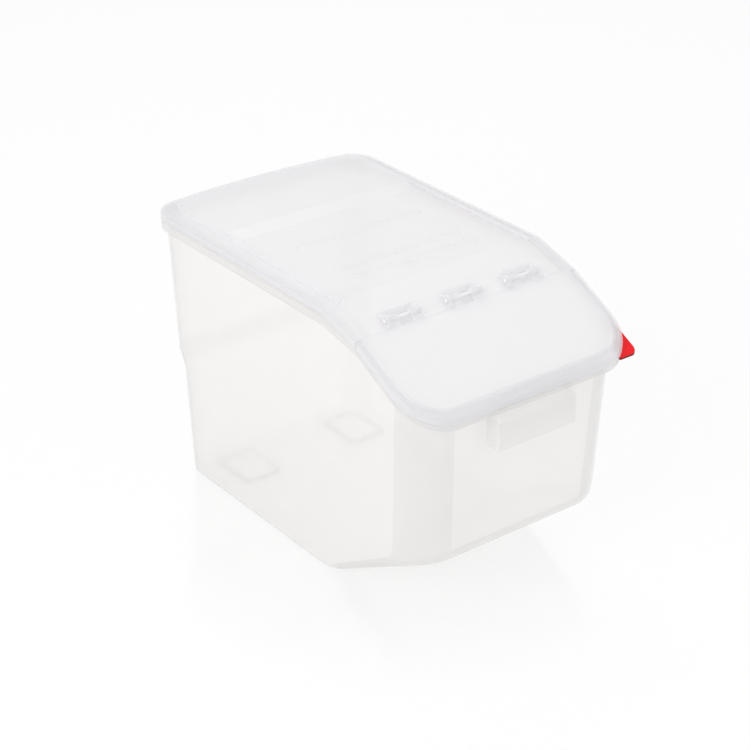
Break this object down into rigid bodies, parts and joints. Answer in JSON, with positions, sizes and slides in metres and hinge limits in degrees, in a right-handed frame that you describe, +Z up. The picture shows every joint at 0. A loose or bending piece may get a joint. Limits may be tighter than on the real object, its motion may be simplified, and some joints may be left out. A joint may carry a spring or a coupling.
{
  "type": "rice bin with flip lid",
  "caption": "Tapered milky bin with a fixed back lid, a sloping hinged front flap, a front hand grip and a red colour clip.",
  "frame": {"origin": "middle of the bin's outline seen from above, on the surface that it stands on", "axes": "+Z up, +Y to the back wall, -Y to the hand grip and the flap, +X to the right seen from the front"},
  "size_m": [0.368, 0.632, 0.417],
  "materials": {
    "milky_plastic": "satin, translucent",
    "white_plastic": "satin",
    "red_plastic": "gloss"
  },
  "bodies": {
    "bin": {"bin_body": "milky_plastic"},
    "lid": {"fixed_lid": "white_plastic", "hinge_pin_left": "white_plastic", "hinge_pin_middle": "white_plastic", "hinge_pin_right": "white_plastic"},
    "flap": {"front_flap": "white_plastic"},
    "clip": {"colour_clip": "red_plastic"}
  },
  "joints": [
    {"name": "lid_lift", "type": "slide", "parent": "bin", "child": "lid", "axis": [0, 0, 1], "range_m": [0, 0.25]},
    {"name": "flap_hinge", "type": "hinge", "parent": "lid", "child": "flap", "pos_m": [0, -0.163, 0.397], "axis": [-1, 0, 0], "range_deg": [0, 184]},
    {"name": "clip_pull", "type": "slide", "parent": "bin", "child": "clip", "axis": [0.6661, -0.6661, -0.3356], "range_m": [0, 0.03]}
  ]
}
